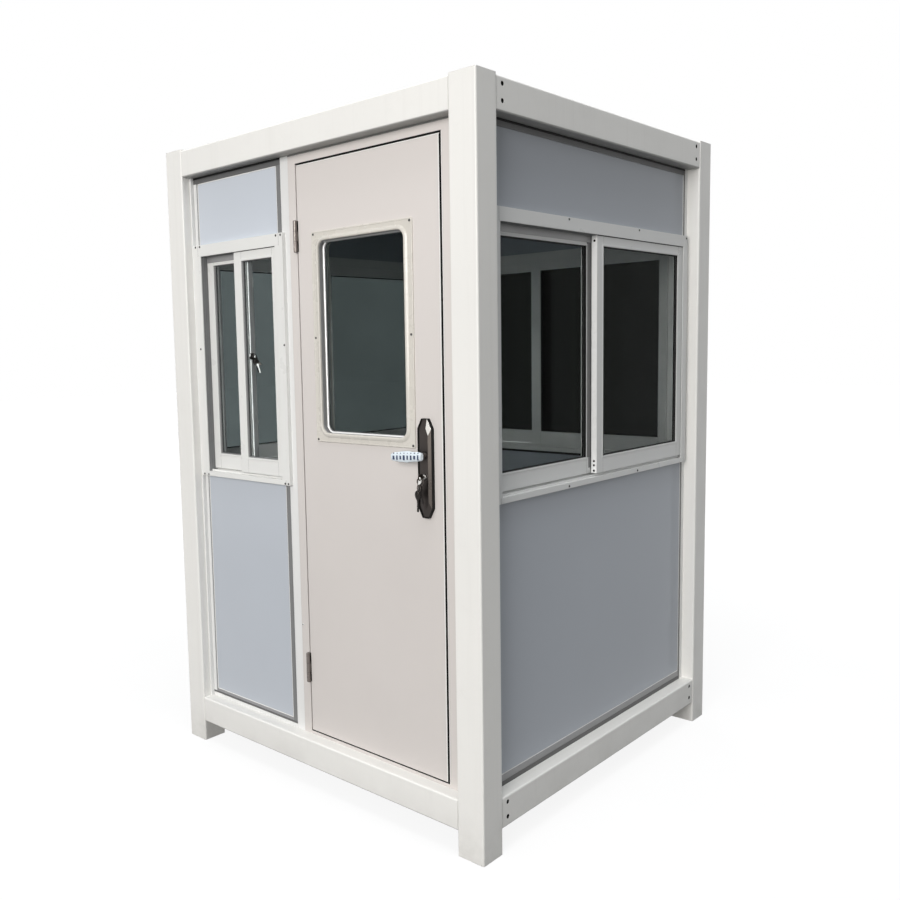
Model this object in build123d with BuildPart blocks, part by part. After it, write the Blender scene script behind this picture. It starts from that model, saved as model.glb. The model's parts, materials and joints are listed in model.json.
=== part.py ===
"""Security guard booth: a bolted steel frame with sandwich-panel walls, a door and four sliding windows.

All sizes are in millimetres. X runs to the right along the door side, Y runs from the door side to
the back, and Z is up. The origin is on the ground under the middle of the booth.
"""

from build123d import *
import os

# Overall size and the steel frame
width = 1500
depth = 1550
height = 2350
post = 100
post_corner = 6
beam_height = 100
beam_set_back = 2
beam_drop = 5
beam_corner = 6
foot_height = 80
floor_level = foot_height + beam_height
ceiling_level = height - beam_drop - beam_height
bolt_hole = 14
bolt_hole_depth = 20
bolt_from_end = 30
bolt_spacing = 48
bolt_above_middle = 5

# Walls: sandwich panels in aluminium channels, set back behind the faces of the posts
wall_face = 50
wall_back = 100
channel_sheet = 2
front_side_lip = 22
side_lip = 8
top_lip = 24
bottom_lip = 35
front_bottom_lip = 17
base_strip = 15
stud = 25
stud_back = 98
strip_joint = 1
front_edge_strip = 7
front_strip_face = 36
mullion_left = -136

# Floor and roof
floor_board_thickness = 25
joist = 50
joist_count = 3
roof_panel_thickness = 50
roof_sheet_thickness = 2
roof_sheet_drop = 12

# Sliding windows
window_low = 1091
window_high = 1986
window_face = 35
window_back = 105
window_lip = 3
head_height = 43
sill_height = 19
pocket_side = 12
pocket_top = 15
track_rib = 3
track_rib_height = 7
sash_lift = 3
outer_meeting_stile = 43
inner_meeting_stile = 47
top_rail = 47
bottom_rail = 58
sash_thickness = 22
outer_sash_face = 40
inner_sash_face = 66
sash_seat_side = 8
sash_seat_top = 12
front_flange_right = -120
glass_thickness = 5
glass_edge = 8

# Each window's jambs, its sashes' outer stiles, and where its two sashes meet and overlap
side_window = {"left_jamb": 36, "right_jamb": 36, "left_stile": 43, "right_stile": 43,
               "outer_start": -40, "overlap": 21}
windows = {
    "front": {"left_jamb": 46, "right_jamb": 26, "left_stile": 46, "right_stile": 31,
              "outer_start": -400, "overlap": 50},
    "right": side_window,
    "back": side_window | {"overlap": 79},
    "left": side_window | {"overlap": 64},
}

# Door, its frame, window, lock and hinges
frame_left = -96
frame_right = 622
door_jamb = 37
door_head = 35
door_sill = 11
frame_depth = 55
door_gap = 5
lock_gap = 8
door_thickness = 40
stop_width = 15
stop_thickness = 10
light_left = 49
light_right = 435
light_low = 1289
light_high = 1942
light_radius = 29
light_cut = 6
trim_side = 32
trim_end = 30
trim_thickness = 4
trim_radius = 6
trim_collar = 5
lock_middle = 512
lock_low = 1044
lock_high = 1355
lock_width = 55
lock_corner_width = 16
lock_corner_height = 31
lock_wall = 10
lock_thickness = 14
lock_crown_side = 11
lock_crown_end = 30
lock_crown_corner = 0.7
lever_level = 1241
cylinder_level = 1174
cylinder_radius = 9
cylinder_proud = 4
cylinder_clearance = 1
spindle_radius = 6
spindle_hole = 12
neck_radius = 9
neck_clearance = 0.5
neck_depth = 11
lever_tip = 109
lever_boss = 17
lever_standoff = 34
lever_height = 20
lever_thickness = 12
lever_corner = 5
hinge_x = -58.5
hinge_proud = 8.5
hinge_height = 105
hinge_levels = (431, 1966)
hinge_radius = 7
hinge_pin_radius = 3.5
hinge_pin_clearance = 0.1
hinge_bearing_gap = 0.5
hinge_plate = 1.6
hinge_plate_reach = 34
hinge_plate_start = 4.5

# Each wall's own plane: x to the right as seen from outside, y up, z outward from the posts' face
walls = {
    "front": Plane((0, -depth / 2, 0), x_dir=(1, 0, 0), z_dir=(0, -1, 0)),
    "right": Plane((width / 2, 0, 0), x_dir=(0, 1, 0), z_dir=(1, 0, 0)),
    "back": Plane((0, depth / 2, 0), x_dir=(-1, 0, 0), z_dir=(0, 1, 0)),
    "left": Plane((-width / 2, 0, 0), x_dir=(0, -1, 0), z_dir=(-1, 0, 0)),
}
half_span = {
    "front": width / 2 - post,
    "right": depth / 2 - post,
    "back": width / 2 - post,
    "left": depth / 2 - post,
}


def save(piece, label):
    """Label a finished sub-part and write its STEP file."""
    piece.part.label = label
    export_step(piece.part, f"parts/{label}.step")


def make_post(name, x, y):
    """A corner post of square tube that also stands on the ground as a foot."""
    with BuildPart() as piece:
        with BuildSketch():
            with Locations((x, y)):
                Rectangle(post, post)
        extrude(amount=height)
        fillet(piece.edges().filter_by(Axis.Z), post_corner)
    save(piece, name)


def make_beam(side, low, name, bolted):
    """A beam between two posts. The side beams are bolted on at both ends."""
    span = half_span[side]
    with BuildPart() as piece:
        with BuildSketch(walls[side].offset(-beam_set_back)):
            with Locations((0, low + beam_height / 2)):
                Rectangle(2 * span, beam_height)
        extrude(amount=beam_set_back - post)
        along = Axis.Y if bolted else Axis.X
        fillet(piece.edges().filter_by(along), beam_corner)
        if bolted:
            middle = low + beam_height / 2 + bolt_above_middle
            with BuildSketch(walls[side].offset(-beam_set_back)):
                with Locations((0, middle)):
                    with GridLocations(2 * (span - bolt_from_end), bolt_spacing, 2, 2):
                        Circle(bolt_hole / 2)
            extrude(amount=-bolt_hole_depth, mode=Mode.SUBTRACT)
    save(piece, name)


def make_steel_frame():
    """Four posts and eight beams."""
    x = (width - post) / 2
    y = (depth - post) / 2
    make_post("post_front_left", -x, -y)
    make_post("post_front_right", x, -y)
    make_post("post_back_left", -x, y)
    make_post("post_back_right", x, y)
    for side in walls:
        bolted = side in ("left", "right")
        make_beam(side, foot_height, f"{side}_bottom_beam", bolted)
        make_beam(side, ceiling_level, f"{side}_top_beam", bolted)


def slab(name, low, thickness):
    """A flat sheet that fills the frame between the beams."""
    with BuildPart() as piece:
        with BuildSketch(Plane.XY.offset(low)):
            Rectangle(width - 2 * post, depth - 2 * post)
        extrude(amount=thickness)
    save(piece, name)


def make_floor_and_roof():
    """The floor on its joists, the roof panel that is also the ceiling, and the sheet over it."""
    slab("floor_board", floor_level - floor_board_thickness, floor_board_thickness)
    slab("roof_panel", ceiling_level, roof_panel_thickness)
    slab("roof_sheet", height - beam_drop - roof_sheet_drop, roof_sheet_thickness)
    with BuildPart() as joists:
        with BuildSketch(Plane.XY.offset(floor_level - floor_board_thickness - joist)):
            with GridLocations(0, (depth - 2 * post) / (joist_count + 1), 1, joist_count):
                Rectangle(width - 2 * post, joist)
        extrude(amount=joist)
    save(joists, "floor_joists")


def make_wall_panels(side, left, right, low, edge_lip, lower_lip):
    """The panels above and below a wall's window, and the channels that hold their outer edges."""
    zones = ((low, window_low, lower_lip, 0), (window_high, ceiling_level, 0, top_lip))
    middle = (left + right) / 2
    across = right - left
    with BuildPart() as panels:
        for z0, z1, lip_low, lip_high in zones:
            sheet_low = channel_sheet if lip_low else 0
            sheet_high = channel_sheet if lip_high else 0
            with BuildSketch(walls[side].offset(-wall_face - channel_sheet)):
                with Locations((middle, (z0 + sheet_low + z1 - sheet_high) / 2)):
                    Rectangle(across - 2 * channel_sheet, z1 - z0 - sheet_low - sheet_high)
            extrude(amount=wall_face + 2 * channel_sheet - wall_back)
    save(panels, f"{side}_panels")

    with BuildPart() as channels:
        for z0, z1, lip_low, lip_high in zones:
            with BuildSketch(walls[side].offset(-wall_face)):
                with Locations((middle, (z0 + z1) / 2)):
                    Rectangle(across, z1 - z0)
                with Locations((middle, (z0 + lip_low + z1 - lip_high) / 2)):
                    Rectangle(across - 2 * edge_lip, z1 - z0 - lip_low - lip_high,
                              mode=Mode.SUBTRACT)
            extrude(amount=wall_face - wall_back)
        add(panels.part, mode=Mode.SUBTRACT)
    save(channels, f"{side}_channels")


def make_studs():
    """The strips between the panels and the posts, under the front panel and beside the door."""
    front = half_span["front"]
    side = half_span["right"]
    strips = [
        ("front", -front, -front + front_edge_strip, ceiling_level, front_strip_face),
        ("front", front_edge_strip - front + strip_joint, mullion_left - strip_joint,
         floor_level + base_strip, wall_face),
        ("front", mullion_left, frame_left, ceiling_level, wall_face),
        ("front", frame_right, front, ceiling_level, wall_face),
    ]
    for wall in ("right", "left"):
        strips.append((wall, -side, -side + stud, ceiling_level, wall_face))
        strips.append((wall, side - stud, side, ceiling_level, wall_face))
    with BuildPart() as studs:
        for wall, left, right, high, face in strips:
            with BuildSketch(walls[wall].offset(-face)):
                with Locations(((left + right) / 2, (floor_level + high) / 2)):
                    Rectangle(right - left, high - floor_level)
            extrude(amount=face - stud_back)
    save(studs, "wall_studs")


def make_window(side, left, right, flange_right):
    """A two-track sliding window: its frame, its two sashes and their panes.

    The outer sash hangs in the front track on the right, and the inner one behind it on the left.
    """
    own = windows[side]
    clear_left = left + own["left_jamb"]
    clear_right = right - own["right_jamb"]
    clear_low = window_low + sill_height
    clear_high = window_high - head_height
    pocket_low = clear_low
    pocket_high = clear_high + pocket_top
    whole = ((left + right) / 2, (window_low + window_high) / 2)
    clear = ((clear_left + clear_right) / 2, (clear_low + clear_high) / 2)
    plane = walls[side]
    with BuildPart() as frame:
        with BuildSketch(plane.offset(-window_face)):
            with Locations(((left + flange_right) / 2, whole[1])):
                Rectangle(flange_right - left, window_high - window_low)
        extrude(amount=window_face - wall_face)
        with BuildSketch(plane.offset(-wall_face)):
            with Locations(whole):
                Rectangle(right - left, window_high - window_low)
        extrude(amount=wall_face - window_back)
        with BuildSketch(plane.offset(-window_face)):
            with Locations(clear):
                Rectangle(clear_right - clear_left, clear_high - clear_low)
        extrude(amount=window_face - window_back, mode=Mode.SUBTRACT)
        with BuildSketch(plane.offset(-window_face - window_lip)):
            with Locations((clear[0], (pocket_low + pocket_high) / 2)):
                Rectangle(clear_right - clear_left + 2 * pocket_side, pocket_high - pocket_low)
        extrude(amount=window_face - window_back + 2 * window_lip, mode=Mode.SUBTRACT)
        for face in (outer_sash_face, inner_sash_face):
            with BuildSketch(plane.offset(-face - (sash_thickness - track_rib) / 2)):
                with Locations((clear[0], clear_low + track_rib_height / 2)):
                    Rectangle(clear_right - clear_left, track_rib_height)
            extrude(amount=-track_rib)
    save(frame, f"{side}_window_frame")

    sash_low = clear_low + track_rib_height + sash_lift
    sash_high = clear_high + sash_seat_top
    pane_low = sash_low + bottom_rail
    pane_high = sash_high - top_rail
    pane_middle = (pane_low + pane_high) / 2
    pane_height = pane_high - pane_low
    outer_end = clear_right + sash_seat_side
    inner_start = clear_left - sash_seat_side
    outer_start = own["outer_start"]
    inner_end = outer_start + own["overlap"]
    leaves = (
        (outer_start, outer_end, outer_start + outer_meeting_stile,
         outer_end - own["right_stile"], outer_sash_face),
        (inner_start, inner_end, inner_start + own["left_stile"],
         inner_end - inner_meeting_stile, inner_sash_face),
    )
    glass_back = (sash_thickness - glass_thickness) / 2
    with BuildPart() as glass:
        for _, _, pane_left, pane_right, face in leaves:
            with BuildSketch(plane.offset(-face - glass_back)):
                with Locations(((pane_left + pane_right) / 2, pane_middle)):
                    Rectangle(pane_right - pane_left + 2 * glass_edge,
                              pane_height + 2 * glass_edge)
            extrude(amount=-glass_thickness)
    save(glass, f"{side}_window_glass")

    with BuildPart() as sashes:
        for sash_left, sash_right, pane_left, pane_right, face in leaves:
            with BuildSketch(plane.offset(-face)):
                with Locations(((sash_left + sash_right) / 2, (sash_low + sash_high) / 2)):
                    Rectangle(sash_right - sash_left, sash_high - sash_low)
                with Locations(((pane_left + pane_right) / 2, pane_middle)):
                    Rectangle(pane_right - pane_left, pane_height, mode=Mode.SUBTRACT)
            extrude(amount=-sash_thickness)
        add(glass.part, mode=Mode.SUBTRACT)
    save(sashes, f"{side}_window_sashes")


def make_door_frame():
    """The frame round the door, with a stop behind the leaf and seats for the hinge plates."""
    front = walls["front"]
    low = floor_level
    high = ceiling_level
    middle = ((frame_left + frame_right) / 2, (low + high) / 2)
    opening_middle = ((opening_left + opening_right) / 2, (opening_low + opening_high) / 2)
    opening_width = opening_right - opening_left
    opening_height = opening_high - opening_low
    stop_face = wall_face + frame_depth - stop_thickness
    with BuildPart() as frame:
        with BuildSketch(front.offset(-wall_face)):
            with Locations(middle):
                Rectangle(frame_right - frame_left, high - low)
            with Locations(opening_middle):
                Rectangle(opening_width, opening_height, mode=Mode.SUBTRACT)
        extrude(amount=-frame_depth)
        with BuildSketch(front.offset(-stop_face)):
            with Locations(opening_middle):
                Rectangle(opening_width, opening_height)
                Rectangle(opening_width - 2 * stop_width, opening_height - 2 * stop_width,
                          mode=Mode.SUBTRACT)
        extrude(amount=-stop_thickness)
        add(hinge_seats(opening_left - hinge_plate), mode=Mode.SUBTRACT)
    save(frame, "door_frame")


def hinge_seats(left):
    """The shallow seats that one side's hinge plates lie in."""
    with BuildPart() as seats:
        with BuildSketch(walls["front"].offset(-wall_face)):
            for level in hinge_levels:
                with Locations((left + hinge_plate / 2, level)):
                    Rectangle(hinge_plate, hinge_height)
        extrude(amount=-hinge_plate_reach)
    return seats.part


def make_hinges():
    """Two butt hinges. The frame's halves hold the pin in their end knuckles."""
    axis_face = wall_face - hinge_proud
    knuckle = hinge_height / 3
    with BuildPart() as frame_half:
        for level in hinge_levels:
            low = level - hinge_height / 2
            with BuildSketch(Plane.XY.offset(low)):
                with Locations((hinge_x, axis_face - depth / 2)):
                    Circle(hinge_radius)
            extrude(amount=knuckle - hinge_bearing_gap)
            with BuildSketch(Plane.XY.offset(low)):
                with Locations((hinge_x, axis_face - depth / 2)):
                    Circle(hinge_pin_radius)
            extrude(amount=hinge_height)
            with BuildSketch(Plane.XY.offset(low + 2 * knuckle + hinge_bearing_gap)):
                with Locations((hinge_x, axis_face - depth / 2)):
                    Circle(hinge_radius)
            extrude(amount=knuckle - hinge_bearing_gap)
            with BuildSketch(walls["front"].offset(-axis_face - hinge_plate_start)):
                for step in (-1, 1):
                    with Locations((opening_left - hinge_plate / 2, level + step * knuckle)):
                        Rectangle(hinge_plate, knuckle - hinge_bearing_gap)
            extrude(amount=hinge_plate_start - hinge_proud)
        add(hinge_seats(opening_left - hinge_plate))
    save(frame_half, "hinge_frame_halves")

    with BuildPart() as door_half:
        for level in hinge_levels:
            length = knuckle - 2 * hinge_bearing_gap
            with BuildSketch(Plane.XY.offset(level - length / 2)):
                with Locations((hinge_x, axis_face - depth / 2)):
                    Circle(hinge_radius)
            extrude(amount=length)
            with BuildSketch(walls["front"].offset(-axis_face)):
                with Locations((leaf_left + hinge_plate / 2, level)):
                    Rectangle(hinge_plate, length)
            extrude(amount=-hinge_proud)
            with BuildSketch(Plane.XY.offset(level - length / 2)):
                with Locations((hinge_x, axis_face - depth / 2)):
                    Circle(hinge_pin_radius + hinge_pin_clearance)
            extrude(amount=length, mode=Mode.SUBTRACT)
        add(hinge_seats(leaf_left))
    save(door_half, "hinge_door_halves")


def window_outline(grow):
    """The door window's rounded outline, grown by an amount."""
    RectangleRounded(light_right - light_left + 2 * grow, light_high - light_low + 2 * grow,
                     light_radius + grow)


def make_door():
    """The door leaf, its window with a trim on each side, the lock plates and the lever."""
    front = walls["front"]
    light = ((light_left + light_right) / 2, (light_low + light_high) / 2)
    leaf_middle = ((leaf_left + leaf_right) / 2, (leaf_low + leaf_high) / 2)
    glass_face = wall_face + (door_thickness - glass_thickness) / 2
    leaf_back = wall_face + door_thickness
    with BuildPart() as leaf:
        with BuildSketch(front.offset(-wall_face)):
            with Locations(leaf_middle):
                Rectangle(leaf_right - leaf_left, leaf_high - leaf_low)
            with Locations(light):
                RectangleRounded(light_right - light_left + 2 * light_cut,
                                 light_high - light_low + 2 * light_cut,
                                 light_radius + light_cut, mode=Mode.SUBTRACT)
            with Locations((lock_middle, lever_level)):
                Circle(spindle_hole, mode=Mode.SUBTRACT)
            with Locations((lock_middle, cylinder_level)):
                Circle(cylinder_radius + cylinder_clearance, mode=Mode.SUBTRACT)
        extrude(amount=-door_thickness)
        add(hinge_seats(leaf_left), mode=Mode.SUBTRACT)
    save(leaf, "door_leaf")

    with BuildPart() as glass:
        with BuildSketch(front.offset(-glass_face)):
            with Locations(light):
                window_outline(trim_collar)
        extrude(amount=-glass_thickness)
    save(glass, "door_glass")

    with BuildPart() as trim:
        for face, way in ((wall_face - trim_thickness, 1), (leaf_back + trim_thickness, -1)):
            with BuildSketch(front.offset(-face)):
                with Locations(light):
                    RectangleRounded(light_right - light_left + 2 * trim_side,
                                     light_high - light_low + 2 * trim_end, trim_radius)
            extrude(amount=-way * trim_thickness)
            with BuildSketch(front.offset(-face)):
                with Locations(light):
                    window_outline(trim_collar)
            extrude(amount=-way * (glass_face - wall_face + trim_thickness))
            with BuildSketch(front.offset(-face)):
                with Locations(light):
                    window_outline(0)
            extrude(amount=-way * (glass_face - wall_face + trim_thickness), mode=Mode.SUBTRACT)
    save(trim, "door_window_trim")

    with BuildPart() as plates:
        for face, way in ((wall_face, 1), (leaf_back, -1)):
            with BuildSketch(front.offset(-face)):
                lock_outline(0, 0, 1)
            extrude(amount=way * lock_wall)
            with BuildSketch(front.offset(way * lock_wall - face)):
                lock_outline(0, 0, 1)
            with BuildSketch(front.offset(way * lock_thickness - face)):
                lock_outline(lock_crown_side, lock_crown_end, lock_crown_corner)
            loft(ruled=True)
        with BuildSketch(front.offset(lock_thickness + cylinder_proud - wall_face)):
            with Locations((lock_middle, cylinder_level)):
                Circle(cylinder_radius)
        extrude(amount=-(door_thickness + 2 * lock_thickness + 2 * cylinder_proud))
        with BuildSketch(front.offset(lock_thickness - wall_face)):
            with Locations((lock_middle, lever_level)):
                Circle(neck_radius + neck_clearance)
        extrude(amount=-(door_thickness + 2 * lock_thickness), mode=Mode.SUBTRACT)
    save(plates, "lock_plates")

    with BuildPart() as lever:
        whole = door_thickness + 2 * (lock_thickness + lever_standoff)
        with BuildSketch(front.offset(lock_thickness + lever_standoff - wall_face)):
            with Locations((lock_middle, lever_level)):
                Circle(spindle_radius)
        extrude(amount=-whole)
        for face, way in ((wall_face, 1), (leaf_back, -1)):
            neck_face = face - way * (lock_thickness - neck_depth)
            with BuildSketch(front.offset(-neck_face)):
                with Locations((lock_middle, lever_level)):
                    Circle(neck_radius)
            extrude(amount=way * (neck_depth + lever_standoff))
            bar_face = face - way * (lock_thickness + lever_standoff)
            with BuildSketch(front.offset(-bar_face)):
                with Locations((lock_middle + (lever_boss - lever_tip) / 2, lever_level)):
                    RectangleRounded(lever_tip + lever_boss, lever_height, lever_corner)
            extrude(amount=-way * lever_thickness)
    save(lever, "door_lever")


def lock_outline(side_inset, end_inset, corner_scale):
    """A long octagon round the lock plate's middle, inset from the plate's own outline."""
    half_width = lock_width / 2 - side_inset
    half_height = (lock_high - lock_low) / 2 - end_inset
    inner = half_width - lock_corner_width * corner_scale
    upper = half_height - lock_corner_height * corner_scale
    with Locations((lock_middle, (lock_low + lock_high) / 2)):
        Polygon((-inner, -half_height), (inner, -half_height), (half_width, -upper),
                (half_width, upper), (inner, half_height), (-inner, half_height),
                (-half_width, upper), (-half_width, -upper))


opening_left = frame_left + door_jamb
opening_right = frame_right - door_jamb
opening_low = floor_level + door_sill
opening_high = ceiling_level - door_head
leaf_left = opening_left + door_gap
leaf_right = opening_right - lock_gap
leaf_low = opening_low + door_gap
leaf_high = opening_high - door_gap

os.makedirs("parts", exist_ok=True)
make_steel_frame()
make_floor_and_roof()
make_studs()
side_half = half_span["right"] - stud
back_half = half_span["back"]
front_left = front_edge_strip - half_span["front"]
front_low = floor_level + base_strip
make_wall_panels("front", front_left, mullion_left, front_low, front_side_lip, front_bottom_lip)
make_wall_panels("right", -side_half, side_half, floor_level, side_lip, bottom_lip)
make_wall_panels("back", -back_half, back_half, floor_level, side_lip, bottom_lip)
make_wall_panels("left", -side_half, side_half, floor_level, side_lip, bottom_lip)
make_window("front", front_left, mullion_left, front_flange_right)
make_window("right", -side_half, side_half, side_half)
make_window("back", -back_half, back_half, back_half)
make_window("left", -side_half, side_half, side_half)
make_door_frame()
make_hinges()
make_door()
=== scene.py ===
import json
import random
from collections import namedtuple
from itertools import product
from math import copysign, cos, pi, radians, sin, sqrt

import bmesh
import bpy
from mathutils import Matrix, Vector


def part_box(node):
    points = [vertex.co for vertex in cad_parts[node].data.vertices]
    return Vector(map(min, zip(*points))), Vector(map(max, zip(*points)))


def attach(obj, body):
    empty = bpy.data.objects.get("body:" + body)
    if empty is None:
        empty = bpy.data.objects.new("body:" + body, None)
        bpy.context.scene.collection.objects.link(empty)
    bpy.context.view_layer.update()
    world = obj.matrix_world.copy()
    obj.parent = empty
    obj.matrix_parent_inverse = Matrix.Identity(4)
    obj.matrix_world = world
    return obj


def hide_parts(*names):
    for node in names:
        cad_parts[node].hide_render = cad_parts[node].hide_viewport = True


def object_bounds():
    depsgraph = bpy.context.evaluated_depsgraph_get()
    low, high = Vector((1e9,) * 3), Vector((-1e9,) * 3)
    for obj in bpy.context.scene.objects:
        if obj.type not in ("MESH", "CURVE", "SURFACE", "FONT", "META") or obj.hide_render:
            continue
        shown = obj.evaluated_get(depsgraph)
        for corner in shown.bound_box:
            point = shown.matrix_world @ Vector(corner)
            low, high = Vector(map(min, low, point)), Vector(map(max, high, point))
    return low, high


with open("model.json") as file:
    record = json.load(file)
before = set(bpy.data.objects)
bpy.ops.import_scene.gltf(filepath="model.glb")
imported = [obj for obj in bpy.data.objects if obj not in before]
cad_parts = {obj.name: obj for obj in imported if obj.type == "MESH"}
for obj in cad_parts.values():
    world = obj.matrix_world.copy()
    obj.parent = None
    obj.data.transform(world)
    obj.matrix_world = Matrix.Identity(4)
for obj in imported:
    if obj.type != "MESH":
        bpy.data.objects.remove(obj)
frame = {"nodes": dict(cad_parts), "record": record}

cad_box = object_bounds()
rng = random.Random(7)

# ---- places on the four walls

FRONT = "front"
RIGHT = {"front": Vector((1, 0, 0)), "right": Vector((0, 1, 0)), "back": Vector((-1, 0, 0)),
    "left": Vector((0, -1, 0))}
OUT = {"front": Vector((0, -1, 0)), "right": Vector((1, 0, 0)), "back": Vector((0, 1, 0)),
    "left": Vector((-1, 0, 0))}
UP = Vector((0, 0, 1))
FACE = {side: max(out.dot(Vector(corner)) for corner in cad_box) for side, out in OUT.items()}


def at(u, v, recess, side=FRONT):
    """A point of one wall: u to the right from outside, v up, recess in from the posts' face."""
    return RIGHT[side] * u + UP * v + OUT[side] * (FACE[side] - recess)


class Flat(namedtuple("Flat", "left right low high front back")):
    @property
    def middle(self):
        return (self.left + self.right) / 2

    @property
    def level(self):
        return (self.low + self.high) / 2


def flat(side, box):
    """A box seen on one wall. Its front and back are recesses."""
    corners = [Vector(corner) for corner in box]
    across = sorted(RIGHT[side].dot(corner) for corner in corners)
    levels = sorted(corner.z for corner in corners)
    depths = sorted(FACE[side] - OUT[side].dot(corner) for corner in corners)
    return Flat(*across, *levels, *depths)


def wall_of(name):
    """The wall that a name starts with, or else the front."""
    side = name.split("_")[0]
    return side if side in OUT else FRONT


def placed(name):
    """The box of a whole CAD node on its wall."""
    return flat(wall_of(name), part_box(name))


def solids(node):
    """The box of each separate solid of a CAD node."""
    bm = bmesh.new()
    bm.from_mesh(frame["nodes"][node].data)
    bmesh.ops.remove_doubles(bm, verts=bm.verts, dist=1e-6)
    left = set(bm.verts)
    found = []
    while left:
        group = [left.pop()]
        for vert in group:  # the group grows while it is walked
            near = {end for edge in vert.link_edges for end in edge.verts} & left
            left -= near
            group += near
        found.append([[limit(vert.co[i] for vert in group) for i in range(3)] for limit in (min,
            max)])
    bm.free()
    return sorted(found)


def shrunk(edges, inset, ends=None):
    """The (left, right, low, high) of a rectangle drawn in at its sides and at its ends."""
    left, right, low, high = edges[:4]
    ends = inset if ends is None else ends
    return left + inset, right - inset, low + ends, high - ends


def ordered(name, by="front"):
    """The solids of a CAD node as boxes on its wall, the outermost first."""
    return sorted((flat(wall_of(name), box) for box in solids(name)), key=lambda box: getattr(box,
        by))


# ---- materials


def node(tree, kind, inputs=None, **settings):
    made = tree.nodes.new(f"ShaderNode{kind}")
    for key, value in settings.items():
        setattr(made, key, value)
    for key, value in (inputs or {}).items():
        if isinstance(value, bpy.types.Node):
            value = value.outputs[0]
        if isinstance(value, bpy.types.NodeSocket):
            tree.links.new(value, made.inputs[key])
        else:
            made.inputs[key].default_value = value
    return made


def new_material(name):
    """An empty material, its node tree and the socket of its object coordinates."""
    material = bpy.data.materials.new(name)
    material.use_nodes = True
    material.node_tree.nodes.clear()
    return material, material.node_tree, node(material.node_tree, "TexCoord").outputs["Object"]


def rgba(colour, gain=1.0):
    return (colour[0] * gain, colour[1] * gain, colour[2] * gain, 1.0)


def noise(tree, vector, scale, detail=4.0, rough=0.55):
    return node(tree, "TexNoise", {"Vector": vector, "Scale": scale, "Detail": detail,
        "Roughness": rough}).outputs["Fac"]


def ramp(tree, value, low, high, to_low=0.0, to_high=1.0):
    return node(tree, "MapRange", {"Value": value, "From Min": low, "From Max": high,
        "To Min": to_low, "To Max": to_high})


def maths(tree, a, b, operation="MULTIPLY"):
    return node(tree, "Math", {0: a, 1: b}, operation=operation)


def blend(tree, fac, a, b):
    return node(tree, "Mix", {0: fac, 6: a, 7: b}, data_type="RGBA").outputs[2]


def stretched(tree, coords, scale):
    return node(tree, "Mapping", {"Vector": coords, "Scale": scale})


def edge_mask(tree, radius):
    """1 on sharp edges, 0 on flat faces."""
    soft = node(tree, "Bevel", {"Radius": radius}, samples=4)
    flat_normal = node(tree, "NewGeometry").outputs["True Normal"]
    dot = node(tree, "VectorMath", {0: soft, 1: flat_normal}, operation="DOT_PRODUCT").outputs[
        "Value"]
    return ramp(tree, dot, 0.995, 0.85)


def surface(name, colour, roughness=0.34, metallic=0.0, tone=0.02, grain=0.02, grain_scale=260.0,
        dirt=0.25, soil=(0.2, 0.18, 0.15), streaks=0.0, ground=0.0, wear=0.0, bare=None,
        edge=0.0025, coat=0.0, vary=0.08, brushed=None, specular=0.5, rise=0.0, under=0.0):
    """A finish with broad tone changes, dirt (soil), rain streaks, edges worn bare and a fine
    grain. Its roughness varies. By rise it grows paler upwards (darker upwards when rise is
    below 0), and by under its faces turned down grow darker: a painted light and shade."""
    material, tree, coords = new_material(name)
    broad = noise(tree, coords, 1.7, 3.0)
    middle = noise(tree, coords, 11.0, 6.0, 0.6)
    fine = noise(tree, coords, 90.0, 5.0, 0.6)
    base = blend(tree, ramp(tree, broad, 0.3, 0.7), rgba(colour, 1 - tone), rgba(colour, 1 + tone))
    mask = maths(tree, ramp(tree, middle, 0.5, 0.78), ramp(tree, fine, 0.35, 0.7))
    mask = maths(tree, mask, dirt)
    if streaks:
        runs = noise(tree, stretched(tree, coords, (34.0, 34.0, 0.9)), 1.0, 5.0, 0.6)
        runs = maths(tree, ramp(tree, runs, 0.52, 0.8), streaks)
        mask = maths(tree, mask, runs, "MAXIMUM")
    height = node(tree, "SeparateXYZ", {0: coords}).outputs["Z"]
    # painted light: paler upwards, as if lit more from above; a negative rise paints shade at the
    # top instead
    if rise:
        base = blend(tree, ramp(tree, height, 0.8, 2.0), base, rgba(colour, 1 + rise))
    if ground:
        low = maths(tree, ramp(tree, height, 0.16, 0.0), ramp(tree, middle, 0.3, 0.75))
        mask = maths(tree, mask, maths(tree, low, ground), "MAXIMUM")
    base = blend(tree, mask, base, rgba(soil))
    # painted shade: faces turned down are darkened towards 0.3 of the colour, as shade under things
    if under:
        normal = node(tree, "NewGeometry").outputs["Normal"]
        down = node(tree, "SeparateXYZ", {0: normal}).outputs["Z"]
        shade = maths(tree, ramp(tree, down, -0.05, -0.6), under)
        base = blend(tree, shade, base, rgba(colour, 0.3))
    if wear:
        rim = maths(tree, edge_mask(tree, edge), ramp(tree, fine, 0.4, 0.62))
        rim = maths(tree, rim, wear)
        base = blend(tree, rim, base, rgba(bare or tuple(c * 0.55 for c in colour)))
    rough = ramp(tree, middle, 0.3, 0.7, roughness - vary, roughness + vary)
    if brushed:
        height = noise(tree, stretched(tree, coords, brushed), 1.0, 4.0)
    else:
        height = noise(tree, coords, grain_scale, 2.0)
    soft = node(tree, "Bevel", {"Radius": edge}, samples=4)
    bump = node(tree, "Bump", {"Strength": grain, "Distance": 0.002, "Height": height,
        "Normal": soft})
    shader = node(tree, "BsdfPrincipled", {"Base Color": base, "Roughness": rough,
        "Metallic": metallic, "Normal": bump, "Coat Weight": coat, "Coat Roughness": 0.08,
        "Specular IOR Level": specular})
    node(tree, "OutputMaterial", {"Surface": shader})
    return material


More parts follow.
